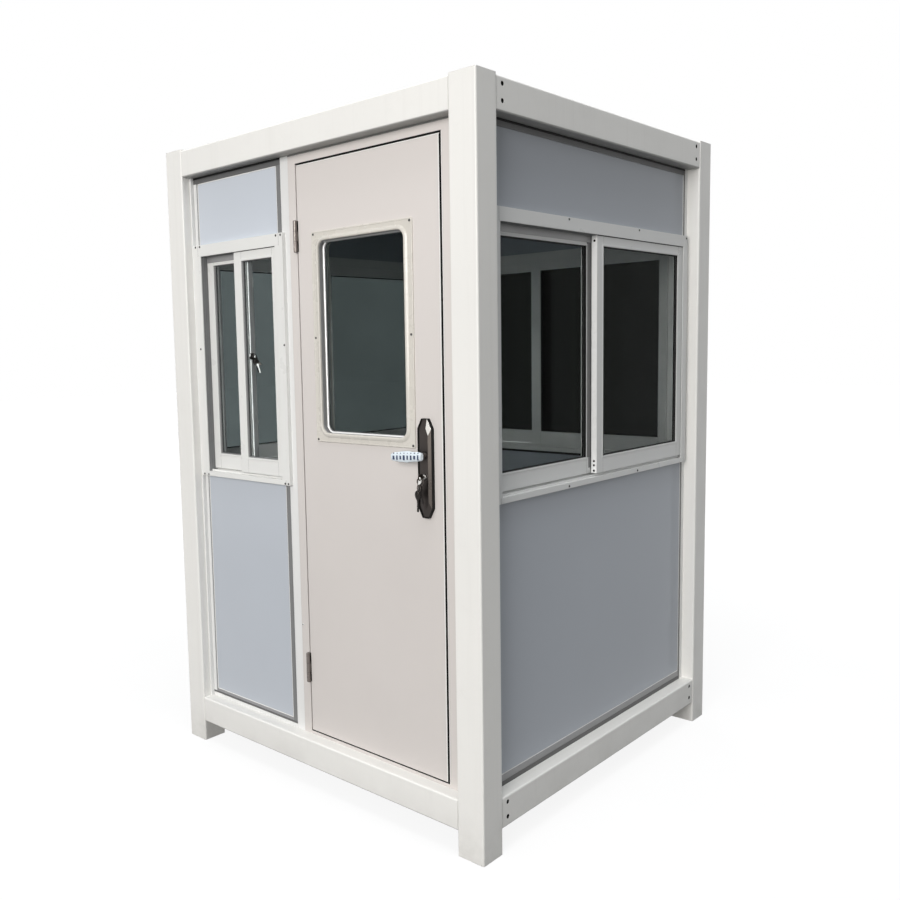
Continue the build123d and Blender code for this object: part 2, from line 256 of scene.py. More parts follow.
def glazing(name, tint, daylight=0.6):
    """Tinted glass with faint smears. Shadows through it are as light as the daylight value."""
    material, tree, coords = new_material(name)
    smear = noise(tree, stretched(tree, coords, (3.0, 3.0, 5.0)), 1.4, 5.0, 0.6)
    colour = blend(tree, ramp(tree, smear, 0.35, 0.7), rgba(tint, 0.95), rgba(tint, 1.05))
    glass = node(tree, "BsdfPrincipled", {"Base Color": colour, "Roughness": 0.0,
        "Transmission Weight": 1.0, "IOR": 1.045})
    clear = node(tree, "BsdfTransparent", {"Color": (daylight, daylight, daylight, 1)})
    shadow = node(tree, "LightPath").outputs["Is Shadow Ray"]
    mixed = node(tree, "MixShader", {0: shadow, 1: glass, 2: clear})
    node(tree, "OutputMaterial", {"Surface": mixed})
    return material


FILM = dict(roughness=0.14, tone=0.015, dirt=0.01, grain_scale=120.0, wear=0.1, vary=0.03,
    specular=0.25)
EXTRUDED = dict(dirt=0.015, grain=0.03, coat=0.1, wear=0.15, bare=(0.5, 0.5, 0.49), tone=0.01)
FINE_STEEL = dict(edge=0.0006, grain=0.04, grain_scale=500.0)

# under paints shade on the frame's faces turned down, such as the beams' undersides
FRAME = surface("frame_paint", (0.82, 0.81, 0.78), 0.38, grain=0.05, dirt=0.06, streaks=0.06,
    ground=0.3, wear=0.25, bare=(0.55, 0.53, 0.48), under=0.82)
# painted light and shade: the side walls' film grows darker upwards, a painted shade under the top
# beams; the front's copy is paler and grows paler upwards, a painted light and sheen
PANEL = surface("panel_film", (0.446, 0.478, 0.527), rise=-0.13, **FILM)
FRONT_PANEL = surface("front_panel_film", (0.485, 0.518, 0.566), rise=0.22, **FILM)
CHANNEL = surface("channel_aluminium", (0.29, 0.29, 0.295), 0.42, metallic=0.3,
    soil=(0.36, 0.35, 0.33), wear=0.4, bare=(0.5, 0.5, 0.5))
LIP_SEAL = surface("channel_seal", (0.105, 0.105, 0.105), 0.5, grain=0.06, soil=(0.22, 0.22, 0.21))
STRIP = surface("white_strip", (0.76, 0.76, 0.75), 0.4, dirt=0.08, streaks=0.05, wear=0.2)
ALUMINIUM = surface("window_aluminium", (0.76, 0.76, 0.74), **EXTRUDED)
# painted shade: a darker copy of the window aluminium for the side and back walls, which get less
# light
SIDE_ALUMINIUM = surface("side_aluminium", (0.69, 0.695, 0.685), **EXTRUDED)
# painted light: the door's rise makes it paler upwards, as lit more from above
DOOR = surface("door_paint", (0.627, 0.59, 0.566), 0.42, grain=0.08, grain_scale=420.0, dirt=0.02,
    wear=0.2, bare=(0.42, 0.39, 0.36), rise=0.11)
TRIM = surface("door_trim", (0.63, 0.6, 0.545), 0.28, grain=0.03, dirt=0.015, wear=0.1, coat=0.3)
BRONZE = surface("bronze", (0.047, 0.04, 0.037), metallic=0.85, tone=0.25, grain=0.06,
    soil=(0.11, 0.1, 0.09), wear=0.8, bare=(0.34, 0.32, 0.3), edge=0.001,
    brushed=(30.0, 30.0, 900.0))
# a lighter copy of the bronze: on the lock plate's right slope it is a painted light; it is also
# the key ring's metal
BEVEL = surface("bronze_bevel", (0.075, 0.065, 0.058), 0.3, metallic=0.9, tone=0.3, grain=0.06,
    dirt=0.3, soil=(0.03, 0.028, 0.025), wear=0.3, bare=(0.3, 0.28, 0.26),
    edge=0.0008, brushed=(30.0, 30.0, 900.0))
HINGE = surface("hinge_bronze", (0.17, 0.148, 0.136), 0.24, metallic=0.5, tone=0.3, grain=0.08,
    dirt=0.5, soil=(0.06, 0.05, 0.045), wear=0.9, bare=(0.42, 0.38, 0.35),
    edge=0.001, brushed=(300.0, 300.0, 40.0))
FLOOR = surface("floor_vinyl", (0.05, 0.05, 0.048), 0.55, tone=0.08, grain=0.2, grain_scale=90.0,
    dirt=0.4)
RUBBER = surface("black_rubber", (0.012, 0.012, 0.012), 0.6, grain=0.08, grain_scale=700.0,
    dirt=0.2, soil=(0.06, 0.06, 0.055), specular=0.15)
PILE = surface("brush_pile", (0.24, 0.243, 0.245), 0.8, grain=0.3, grain_scale=900.0, dirt=0.2,
    soil=(0.32, 0.32, 0.31), specular=0.1)
GREY_SEAL = surface("grey_seal", (0.2, 0.202, 0.202), 0.55, grain=0.1, grain_scale=600.0,
    soil=(0.28, 0.28, 0.27), specular=0.2)
# darker than the window aluminium; under the window heads and in the door window's reveal it paints
# the shade there
INNER_TRACK = surface("inner_track", (0.285, 0.285, 0.285), 0.4, metallic=0.2, grain=0.05, dirt=0.2,
    soil=(0.3, 0.3, 0.29), wear=0.3, bare=(0.6, 0.6, 0.59))
BLACK_STEEL = surface("black_steel", (0.035, 0.035, 0.035), metallic=0.7,
    soil=(0.12, 0.12, 0.11), wear=0.5, bare=(0.4, 0.39, 0.37), **FINE_STEEL)
STEEL = surface("zinc_steel", (0.62, 0.62, 0.6), 0.3, metallic=0.9, dirt=0.2, wear=0.3,
    bare=(0.3, 0.29, 0.27), **FINE_STEEL)
CHROME = surface("chrome", (0.8, 0.8, 0.78), 0.18, metallic=0.55, soil=(0.1, 0.1, 0.09),
    wear=0.3, bare=(0.25, 0.24, 0.22), edge=0.0005, vary=0.04)
KEY_STEEL = surface("key_steel", (0.013, 0.011, 0.01), 0.4, dirt=0.2, soil=(0.06, 0.05, 0.04),
    wear=0.15, bare=(0.3, 0.27, 0.24), edge=0.0003, vary=0.04, specular=0.12)
POLISHED = surface("polished_bead", (0.93, 0.93, 0.92), 0.2, metallic=0.45, grain=0.01, dirt=0.03,
    soil=(0.6, 0.6, 0.58), wear=0.1, vary=0.02)
# painted highlight: a white standing for light caught on the meeting stiles and on the window lock
WHITE_HIGHLIGHT = surface("white_highlight", (0.92, 0.92, 0.91), 0.3, dirt=0.02)
SCREW = surface("screw_steel", (0.075, 0.074, 0.072), 0.32, metallic=0.5, grain=0.04,
    grain_scale=500.0, dirt=0.2, wear=0.5, bare=(0.45, 0.44, 0.42), edge=0.0005)
# painted highlight: a bright copy of the plate's bronze for its upper corner facet, standing for a
# glint; its soil mottles it dark
BRIGHT_FACET = surface("glint_facet", (0.72, 0.7, 0.66), 0.2, metallic=0.9, tone=0.2, dirt=0.9,
    soil=(0.16, 0.14, 0.13), wear=0.5, bare=(0.2, 0.18, 0.17), edge=0.0008)
# painted highlight: a paler copy of the door paint for edges that catch light
LIGHT_EDGE = surface("painted_edge_light", (0.92, 0.91, 0.89), 0.35, grain=0.05, dirt=0.03, wear=0.1)
SEALANT = surface("sealant", (0.66, 0.66, 0.63), 0.5, grain=0.15, grain_scale=60.0)
SHADE = surface("joint_shade", (0.22, 0.22, 0.21), 0.6, dirt=0.2)
SLEEVE = surface("sleeve_film", (0.7, 0.78, 0.84), 0.12, grain=0.1, grain_scale=60.0, dirt=0.0,
    coat=0.8, vary=0.04)
INK = surface("sleeve_ink", (0.012, 0.03, 0.09), 0.35, dirt=0.0)
LINER = surface("window_liner", (0.86, 0.86, 0.85), 0.2, dirt=0.03)
# each wall's glass has its own tint, darker on the far walls: a painted shade and reflection for
# what is seen through and mirrored in the glass
NEAR_GLASS = glazing("clear_glass", (0.5, 0.52, 0.515))
FRONT_GLASS = glazing("front_glass", (0.66, 0.69, 0.69), 1.0)
DOOR_GLASS = glazing("door_glass_tint", (0.36, 0.39, 0.385))
LEFT_GLASS = glazing("shaded_glass", (0.135, 0.158, 0.158))
BACK_GLASS = glazing("dark_glass", (0.009, 0.01, 0.009))

FINISH = {"frame_paint": FRAME, "panel_skin": PANEL, "channel": CHANNEL, "white_strip": STRIP,
    "window_aluminium": ALUMINIUM, "door_paint": DOOR, "door_trim": TRIM, "bronze": BRONZE,
    "floor_board": FLOOR, "glass": NEAR_GLASS}
# front_panels take the paler, lit copy of the panel film
OWN_FINISH = {"left_window_glass": LEFT_GLASS, "back_window_glass": BACK_GLASS,
    "front_window_glass": FRONT_GLASS, "door_glass": DOOR_GLASS, "hinge_frame_halves": HINGE,
    "hinge_door_halves": HINGE, "front_panels": FRONT_PANEL}
# the side and back windows take the shaded copy of the aluminium
for wall in ("left", "back", "right"):
    OWN_FINISH[f"{wall}_window_frame"] = SIDE_ALUMINIUM
    OWN_FINISH[f"{wall}_window_sashes"] = SIDE_ALUMINIUM
for part in frame["record"]["subparts"]:
    finish = OWN_FINISH.get(part["node"], FINISH[part["material_slot"]])
    for place in frame["nodes"][part["node"]].material_slots:
        place.material = finish

# ---- mesh helpers


def new_object(name, data):
    thing = bpy.data.objects.new(name, data)
    bpy.context.collection.objects.link(thing)
    return thing


def made(name, bm, material, slot="gasket", body="booth", bevel=0.0, sharp=35):
    """Finish a mesh as a piece that rides on a body."""
    bmesh.ops.recalc_face_normals(bm, faces=bm.faces)
    mesh = bpy.data.meshes.new(name)
    bm.to_mesh(mesh)
    bm.free()
    mesh.materials.append(material)
    for polygon in mesh.polygons:
        polygon.use_smooth = True
    mesh.set_sharp_from_angle(angle=radians(sharp))
    piece = new_object(name, mesh)
    if bevel:
        soft = piece.modifiers.new("soft_edges", "BEVEL")
        soft.width = bevel
        soft.segments = 2
        soft.limit_method = "ANGLE"
    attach(piece, body)
    return piece


def skin(bm, rings, wrap=False):
    """Join closed loops of points in order, and cap the ends unless they wrap round."""
    rows = [[bm.verts.new(point) for point in ring] for ring in rings]
    pairs = list(zip(rows, rows[1:]))
    if wrap:
        pairs.append((rows[-1], rows[0]))
    else:
        bm.faces.new(rows[0])
        bm.faces.new(rows[-1])
    count = len(rows[0])
    for first, second in pairs:
        for i in range(count):
            j = (i + 1) % count
            bm.faces.new((first[i], first[j], second[j], second[i]))


def block(bm, left, right, low, high, front, back, side=FRONT):
    """A box on a wall."""
    outline = ((left, low), (right, low), (right, high), (left, high))
    skin(bm, [[at(u, v, recess, side) for u, v in outline] for recess in sorted((front, back))])


def boxes(name, places, material, slot="gasket", body="booth", bevel=0.0):
    """A piece made of boxes (left, right, low, high, front, back) on its wall."""
    bm = bmesh.new()
    for place in places:
        block(bm, *place, wall_of(name))
    made(name, bm, material, slot, body, bevel)


def rounded(left, right, low, high, radius=0.0, steps=6):
    """The (u, v) outline of a rectangle, with round corners if it has a radius."""
    if radius <= 0:
        return [(left, low), (right, low), (right, high), (left, high)]
    outline = []
    corners = ((right - radius, high - radius, 0), (left + radius, high - radius, 90),
        (left + radius, low + radius, 180), (right - radius, low + radius, 270))
    for u, v, start in corners:
        for step in range(steps + 1):
            angle = radians(start + 90 * step / steps)
            outline.append((u + radius * cos(angle), v + radius * sin(angle)))
    return outline


def frame_ring(bm, edges, section, radius=0.0, base=0.0, way=-1, side=FRONT):
    """A frame round a rectangle. Its section is a list of (inset from the edges, height), where
    the height stands outwards from the base recess for way 1 and inwards for -1."""
    rings = []
    for inset, height in section:
        outline = rounded(*shrunk(edges, inset), radius - inset if radius else 0.0)
        rings.append([at(u, v, base - way * height, side) for u, v in outline])
    skin(bm, rings, wrap=True)


def lathe(bm, centre, axis, profile, segments=20):
    """Turn a profile of (radius, height along the axis) round an axis."""
    turn = Vector(axis).normalized().to_track_quat("Z", "Y").to_matrix()
    rings = []
    for radius, height in profile:
        ring = []
        for i in range(segments):
            angle = 2 * pi * i / segments
            ring.append(Vector(centre) + turn @ Vector((radius * cos(angle), radius * sin(angle),
                height)))
        rings.append(ring)
    skin(bm, rings)


def circle(centre, radius, across, up, count=28):
    """Points round a circle in the plane of two unit vectors."""
    return [centre + radius * (cos(2 * pi * i / count) * across + sin(2 * pi * i / count) * up)
        for i in range(count)]


def wire_ring(bm, centre, radius, across, up, wire):
    """A ring of round wire in the plane of two unit vectors."""
    points = circle(centre, radius, across, up)
    rings = []
    for before, point, after in zip(points[-1:] + points, points, points[1:] + points[:1]):
        along = (after - before).normalized()
        side_way = side_way if rings else along.orthogonal().normalized()
        side_way = (side_way - along * side_way.dot(along)).normalized()
        rings.append(circle(point, wire, side_way, along.cross(side_way), 10))
    skin(bm, rings, wrap=True)


# ---- screws and bolts

HAIR = 0.0002  # keeps two faces from lying in one plane
THIN = 0.0005  # as thick as a coat of paint
SCREW_HEAD = ((0.0042, -HAIR), (0.0042, 0.0004), (0.0036, 0.0012), (0.0022, 0.0017),
    (0.0008, 0.0019))
SLOT = ((-0.0021, -THIN), (0.0021, -THIN), (0.0021, THIN), (-0.0021, THIN))
SLOT_DEPTHS = (0.0012, 0.0022)
SLOT_CENTRE = ((0.0022, 0.0), (0.0022, 0.0009), (0.0016, 0.001))

BOLT_FROM_END = 0.03
BOLT_SPACING = 0.048
BOLT_ABOVE = 0.005
BOLT_DEEP = 0.016
SOCKET_DEEP = 0.0066
BOLT_HEAD = ((0.0052, 0), (0.0052, 0.0085), (0.0047, 0.0095), (0.003, 0.0095), (0.0028, 0.0094))
SOCKET = ((0.0027, 0), (0.0027, 0.0003), (0.0024, 0.0004))
# a black lining of each bolt hole: painted shade
HOLE_SHADE = ((0.0071, 0.0185), (0.0071, 0.0004), (0.0066, 0.001), (0.0066, 0.0185))


def screws(name, places, material, slot, body="booth"):
    """Pan-head screws with dark crossed slots, at places of (side, u, v, recess)."""
    heads, slots = bmesh.new(), bmesh.new()
    for side, u, v, recess in places:
        lathe(heads, at(u, v, recess, side), OUT[side], SCREW_HEAD, 16)
        turn = rng.uniform(0, pi / 2)
        for angle in (turn, turn + pi / 2):
            c, s = cos(angle), sin(angle)
            skin(slots, [[at(u + a * c - b * s, v + a * s + b * c, recess - depth, side)
                for a, b in SLOT] for depth in SLOT_DEPTHS])
        lathe(slots, at(u, v, recess - SLOT_DEPTHS[0], side), OUT[side], SLOT_CENTRE, 12)
    made(name, heads, material, slot, body)
    made(f"{name}_slots", slots, RUBBER, body=body)


def make_bolts():
    """A socket bolt deep in each hole of the side beams, with black linings that paint the shade
    in the hole round it and in its socket.
    """
    heads, sockets, wells = (bmesh.new() for _ in range(3))
    for side, end in product(("left", "right"), ("bottom", "top")):
        beam = placed(f"{side}_{end}_beam")
        middle = beam.level + BOLT_ABOVE
        for u, v in product((beam.left + BOLT_FROM_END, beam.right - BOLT_FROM_END),
                (middle - BOLT_SPACING / 2, middle + BOLT_SPACING / 2)):
            lathe(heads, at(u, v, beam.front + BOLT_DEEP, side), OUT[side], BOLT_HEAD, 20)
            # painted shade: a black disc in each bolt's socket
            lathe(sockets, at(u, v, beam.front + SOCKET_DEEP, side), OUT[side], SOCKET, 6)
            # painted shade: a black lining round each hole's wall
            skin(wells, [circle(at(u, v, beam.front + depth, side), radius, RIGHT[side], UP)
                for radius, depth in HOLE_SHADE], wrap=True)
    made("beam_bolts", heads, BLACK_STEEL, "steel")
    made("beam_bolt_wells", wells, RUBBER)
    made("beam_bolt_sockets", sockets, RUBBER)


# ---- windows

GLASS_EDGE = 0.008
SASH_ABOVE_SILL = 0.01
SASH_IN_HEAD = 0.012
SASH_IN_JAMB = 0.008
INNER_STILE = 0.047
SEAM_FROM_EDGE = 0.03
OUTER_SEAM = 0.45  # of that distance, past the outer sash
TRACK_ABOVE_GLASS = 0.0105
STILE_HIGHLIGHT = 0.0042
PILE_FINS = (0.012, 0.021)
STILE_ENDS = (0.02, 0.015)
BEAD_WIDTH = 0.0065
GLAZING_BEAD = ((0.0, -0.002), (0.0012, HAIR), (-0.0008, 0.0012), (-0.005, 0.0012),
    (-BEAD_WIDTH, -HAIR))
GASKET = ((-THIN, 0.0), (0.0045, 0.0), (0.0035, 0.0025), (-THIN, 0.0045))
END_HOLE = ((0.0046, -HAIR), (0.0046, 0.0006), (0.0038, 0.0008))
END_HOLE_FROM_TOP = 0.031
END_HOLES_FROM_LOW = (0.009, 0.028, 0.043)


def make_window_details(side):
    """The small parts of one window: gaskets, beads, seals, tracks, covers and screws, with
    painted highlights by the meeting stiles and painted shade in its recesses.
    """
    window = placed(f"{side}_window_frame")
    outer, inner = sashes = ordered(f"{side}_window_sashes")
    lights = [Flat(*shrunk(pane, GLASS_EDGE), pane.front, pane.back) for pane in ordered(
        f"{side}_window_glass")]
    sill_edge = outer.low - SASH_ABOVE_SILL
    head_edge = outer.high - SASH_IN_HEAD
    make_glazing(side, sashes, lights)
    joints = sash_joints(sashes, lights)
    face = window.front
    for u in (window.left + SEAM_FROM_EDGE, outer.right + SEAM_FROM_EDGE * OUTER_SEAM):
        for low, high in ((window.low, sill_edge), (head_edge, window.high)):
            joints.append((u - 0.0004, u + 0.0004, low, high, face - HAIR, face + 0.001))
    boxes(f"{side}_window_joints", joints, SHADE)

    inside, meet, stile = inner.front, outer.left, inner.right
    wall_back = placed(f"{side}_panels").back
    boxes(f"{side}_window_brushes", ((meet + 0.004, meet + 0.01, outer.low + 0.012,
        outer.high - 0.004, outer.back, inside), (meet, outer.right, head_edge - 0.0022,
        head_edge + 0.006, face + 0.0035, outer.front)), RUBBER)
    # a black seal under the inner flange, also a painted shade below the sill
    boxes(f"{side}_inner_seal", ((window.left, window.right, window.low - 0.01, window.low + 0.0003,
        wall_back - THIN, wall_back + 0.0045),), RUBBER)
    clear = lights[1]
    pocket = inner.left + SASH_IN_JAMB
    track_low = clear.high + TRACK_ABOVE_GLASS
    # a grey lip under the head, over the inner sash's top rail; its grey is partly a painted shade
    # under the head
    boxes(f"{side}_inner_track", ((pocket, meet, track_low, head_edge + HAIR, inside - 0.0016,
        inside + THIN),), INNER_TRACK, "window_aluminium", bevel=0.0006)
    if meet > stile - INNER_STILE:
        boxes(f"{side}_meeting_seal", ((clear.right + 0.0015, meet + 0.002, clear.low, track_low,
            inside - 0.0018, inside + THIN),), LIP_SEAL)
        boxes(f"{side}_meeting_reveal", ((clear.right - 0.0056, clear.right + 0.0003, clear.low,
            clear.high, inside + 0.0006, clear.front - 0.0003),), RUBBER)

    low, high = inner.low + STILE_ENDS[0], inner.high - STILE_ENDS[1]
    highlight_left = stile - STILE_HIGHLIGHT
    # dark pile in the jamb's pocket (its fins the track's ribs), under the head and on the inner
    # stile; its darkness is partly a painted shade of these recesses
    boxes(f"{side}_window_pile", ((pocket - HAIR, pocket + 0.0008, sill_edge, head_edge,
        face + 0.004, inside - THIN), *((pocket - HAIR, pocket + 0.0024, sill_edge, head_edge,
        face + depth, face + depth + 0.0016) for depth in PILE_FINS),
        (pocket, meet, head_edge - 0.0009, head_edge + HAIR, face + 0.003, inside - THIN),
        (stile - 0.034, highlight_left, low, high, inside - 0.0008, inside + THIN)), PILE)
    # painted highlights: a white line on the inner stile and a white cover on the outer sash's end
    # face
    boxes(f"{side}_stile_bead", ((highlight_left, stile + 0.0008, low, high, inside - 0.0014,
        inside + 0.001), (meet - 0.0003, meet + HAIR, outer.low + 0.001, outer.high - 0.001,
        outer.front + THIN, outer.back - THIN)), WHITE_HIGHLIGHT, "window_aluminium")
    boxes(f"{side}_stile_cover", ((stile - HAIR, stile + 0.0006, low, high, inside + 0.001,
        inner.back - THIN),), INNER_TRACK, "window_aluminium")

    ends = bmesh.new()
    for v in (outer.high - END_HOLE_FROM_TOP, *(outer.low + rise for rise in END_HOLES_FROM_LOW)):
        lathe(ends, at(meet + 0.0004, v, (outer.front + outer.back) / 2, side), -RIGHT[side],
            END_HOLE, 16)
    made(f"{side}_sash_end_holes", ends, RUBBER)
    screws(f"{side}_window_screws", [(side, u, v, face) for u, v in window_screws(side, window,
        outer)], SCREW, "steel")


def make_glazing(side, sashes, lights):
    """Gaskets and glazing beads round both faces of both panes."""
    gaskets, beads = bmesh.new(), bmesh.new()
    for sash, light in zip(sashes, lights):
        for glass, face, way in ((light.front, sash.front, 1), (light.back, sash.back, -1)):
            frame_ring(gaskets, light[:4], GASKET, base=glass, way=way, side=side)
            frame_ring(beads, light[:4], GLAZING_BEAD, base=face, way=way, side=side)
    if side != FRONT:
        light, face = lights[0], sashes[0].front
        block(gaskets, light.left - 0.003, light.left + 0.0014, light.low, light.high,
            face - 0.0016, face + 0.001, side)
    made(f"{side}_window_gaskets", gaskets, GREY_SEAL if side == FRONT else RUBBER)
    # beads off the front take the shaded copy of the aluminium
    made(f"{side}_glazing_beads", beads, ALUMINIUM if side == FRONT else SIDE_ALUMINIUM,
        "window_aluminium")


def sash_joints(sashes, lights):
    """Boxes for the fine lines where each sash's stiles meet its rails."""
    joints = []
    for sash, light in zip(sashes, lights):
        for face, way in ((sash.front, 1), (sash.back, -1)):
            for left, right in ((light.left - THIN, light.left), (light.right, light.right + THIN)):
                for low, high in ((sash.low, light.low - BEAD_WIDTH), (light.high + BEAD_WIDTH,
                        sash.high)):
                    joints.append((left, right, low, high, face, face - way * HAIR))
    return joints


def window_screws(side, window, outer):
    """The (u, v) places of the screws in one window's frame."""
    left, right, low, high = window[:4]
    if side == FRONT:
        end, middle = outer.right, window.level
        return ((left + 0.016, high - 0.006), (left + 0.042, high - 0.006), (end, high - 0.007),
            (end + 0.025, high - 0.007), (left + 0.016, low + 0.006), (left + 0.042, low + 0.006),
            (end + 0.009, low + 0.006), (end + 0.026, low + 0.006), (left + 0.023, middle + 0.05),
            (right - 0.006, middle + 0.056))
    return (*((u, v) for v in (high - 0.007, low + 0.008) for u in (-0.229, 0.25)),
        (left + 0.012, high - 0.01), (right - 0.012, high - 0.01))


# ---- keys and the window's lock

KEY_THICKNESS = 0.0022
KEY_TEETH = 5
WIRE = 0.0018
BARREL_END = ((0.0055, 0.0), (0.0055, 0.0012), (0.0045, 0.0018), (0.0015, 0.0019))
FACE_STUD = ((0.0055, 0.0), (0.0055, 0.0012), (0.0045, 0.002), (0.0015, 0.0022))
LOCK_BARREL = ((0.009, -0.001), (0.009, 0.008), (0.0075, 0.01), (0.003, 0.0102))


def key(bm, neck, along, across, blade, bow):
    """A flat key: a toothed blade from its neck along one way, and a round bow the other way."""
    along = Vector(along).normalized()
    across = Vector(across)
    across = (across - along * across.dot(along)).normalized()
    thick = along.cross(across) * (KEY_THICKNESS / 2)
    half = min(0.0042, bow * 0.28)
    outline = [(-bow * 0.55 + bow * 0.55 * cos(a), bow * 0.5 * sin(a)) for a in (
        radians(30 + 30 * i) for i in range(11))]
    outline.append((0.001, -half))
    for i in range(KEY_TEETH):
        start = 0.004 + (blade - 0.007) * i / KEY_TEETH
        depth = half - 0.0012 * (1 + i % 2)
        outline += [(start, -half), (start + 0.001, -depth), (start + 0.0025, -depth)]
    outline += [(blade - 0.002, -half), (blade, -half * 0.3), (blade, half * 0.6),
        (blade - 0.002, half), (0.001, half)]
    skin(bm, [[Vector(neck) + along * a + across * b + thick * way for a, b in outline]
        for way in (1, -1)])


def make_window_lock():
    """The small lock on the front window's inner sash, with its keys on a ring."""
    right, out = RIGHT[FRONT], OUT[FRONT]
    _, inner = ordered("front_window_sashes")
    end, face, level = inner.right, inner.front, inner.level + 0.014
    barrel, depth = level + 0.004, face + 0.01
    body, bright, keys, tag = (bmesh.new() for _ in range(4))
    block(body, end - 0.022, end + 0.003, level - 0.007, level + 0.017, face - 0.0016, face + 0.016)
    lathe(body, at(end + 0.002, barrel, depth), right, LOCK_BARREL, 20)
    made("window_lock_body", body, KEY_STEEL, "steel", bevel=0.0015)
    # painted highlights: the white stud, barrel end and key stand for the lock's glints
    lathe(bright, at(end - 0.006, level + 0.01, face - 0.0016), out, FACE_STUD, 16)
    lathe(bright, at(end + 0.012, barrel, depth), right, BARREL_END, 16)
    facing, sideways = right + out, right - out
    hook = at(end + 0.022, level, depth)
    key(keys, at(end + 0.013, barrel, depth), right, UP, 0.006, 0.024)
    wire_ring(keys, hook - UP * 0.01, 0.0115, facing.normalized(), UP, WIRE)
    low, down = hook - UP * 0.02, -UP + right * 0.4
    key(keys, low - UP * 0.008 - right * 0.003, down, sideways, 0.03, 0.024)
    key(bright, low - UP * 0.012 + facing * 0.004 + right * 0.006, down, sideways, 0.026, 0.0095)
    key(tag, low - UP * 0.004 + right * 0.018, right - UP * 0.5, UP + sideways * 0.4, 0.007, 0.011)
    for name, part, material in (("keys", keys, KEY_STEEL), ("bright", bright, WHITE_HIGHLIGHT),
            ("tag", tag, HINGE)):
        made(f"window_lock_{name}", part, material, "steel", bevel=0.0003)


# ---- walls, floor and roof

TOP_LIP = 0.024
SIDE_LIP = {side: 0.022 if side == FRONT else 0.008 for side in OUT}
BOTTOM_LIP = {side: 0.017 if side == FRONT else 0.035 for side in OUT}
FILM_EDGE = 0.004
COVERED = 0.42  # of the bottom lip, by its seal
LIP_REST = 0.12  # of a lip, left bare beside its seal
ROOF_BEAD = ((0.0, 0.008), (0.004, 0.0075), (0.009, 0.005), (0.014, 0.0), (0.0, -THIN))
ROOF_JOINTS = (1 / 3, 2 / 3)
JOINT_COVER = ((-0.022, 0.0), (-0.022, 0.0015), (-0.011, 0.004), (0.011, 0.004), (0.022, 0.0015),
    (0.022, 0.0))
ROOF_SCREWS = 9
ROOF_SCREW_END = 0.06
COVER_LEG = 0.03
COVER_SHEET = 0.002
COVING = ((0.0, 0.0), (0.0, 0.028), (0.003, 0.028), (0.028, 0.003), (0.028, 0.0))


def make_wall_details(side):
    """The panels' film edges, the seals on the channels' lips, darker strips on their right lips,
    pale covers on the front's left lips (film, and a painted light), and a black seal at the
    top that also paints the shade of the gap under the top beam.
    """
    lower, upper = ordered(f"{side}_channels", by="low")
    # a black seal along the top, also a painted shade of the gap under the top beam
    boxes(f"{side}_sealing_strip", ((upper.left, upper.right, upper.high - 0.0075,
        upper.high - 0.0003, upper.front - 0.002, upper.front + 0.004),), RUBBER, bevel=0.0008)
    film, seals, right_lip_strips, pale = [], [], [], []
    lip = SIDE_LIP[side]
    for panel in (lower, upper):
        lip_low = BOTTOM_LIP[side] if panel is lower else 0.0
        lip_high = TOP_LIP if panel is upper else 0.0
        left, right = panel.left + lip, panel.right - lip
        low, high = panel.low + lip_low, panel.high - lip_high
        seal_top = panel.low + lip_low * COVERED
        face = panel.front
        layer = (face + 0.0014, face + 0.0021)
        seal = (face - 0.0014, face + 0.0004)
        film += [(left, left + FILM_EDGE, low, high, *layer), (right - FILM_EDGE, right, low, high,
            *layer)]
        right_lip_strips.append((panel.right - lip * (1 - LIP_REST), panel.right - lip * LIP_REST,
            seal_top, high, *seal))
        pale.append((panel.left + 0.0008, panel.left + lip * 0.8, seal_top, high, face - 0.001,
            face + 0.0004))
        if panel is lower:
            film.append((left, right, low, low + FILM_EDGE, *layer))
            seals.append((panel.left, panel.right, panel.low, seal_top, *seal))
        else:
            if side == FRONT:
                film.append((left, right, high - FILM_EDGE, high, *layer))
            seals.append((panel.left, panel.right, high, panel.high - lip_high * LIP_REST, *seal))
    boxes(f"{side}_film_edges", film, LINER, "white_strip")
    boxes(f"{side}_lip_seals", seals, LIP_SEAL, bevel=0.0006)
    # pale covers on the front panels' left lips: partly film, partly a painted light where the
    # post's shade falls
    if side == FRONT:
        boxes("front_pale_covers", pale, STRIP, "white_strip", bevel=0.0006)
    # darker strips on each panel's right lip
    boxes(f"{side}_side_seals", right_lip_strips, GREY_SEAL if side == FRONT else LIP_SEAL, bevel=0.0006)


def make_roof_details():
    """Sealant round the roof sheet, its two joint covers and its screws."""
    (x0, y0, _), (x1, y1, top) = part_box("roof_sheet")
    bead = bmesh.new()
    skin(bead, [[Vector((x, y, top + height)) for x, y in rounded(*shrunk((x0, x1, y0, y1), inset))]
        for inset, height in ROOF_BEAD], wrap=True)
    made("roof_sealant", bead, SEALANT, "white_strip")
    covers, heads = bmesh.new(), bmesh.new()
    width = ROOF_BEAD[3][0]
    for share in ROOF_JOINTS:
        x = x0 + (x1 - x0) * share
        skin(covers, [[Vector((x + a, y, top + b)) for a, b in JOINT_COVER] for y in (y0 + width,
            y1 - width)])
        for i in range(ROOF_SCREWS):
            y = y0 + ROOF_SCREW_END + (y1 - y0 - 2 * ROOF_SCREW_END) * i / (ROOF_SCREWS - 1)
            lathe(heads, (x, y, top + 0.0038), (0, 0, 1), SCREW_HEAD, 14)
    made("roof_joint_covers", covers, FRAME, "frame_paint")
    made("roof_screws", heads, STEEL, "steel")


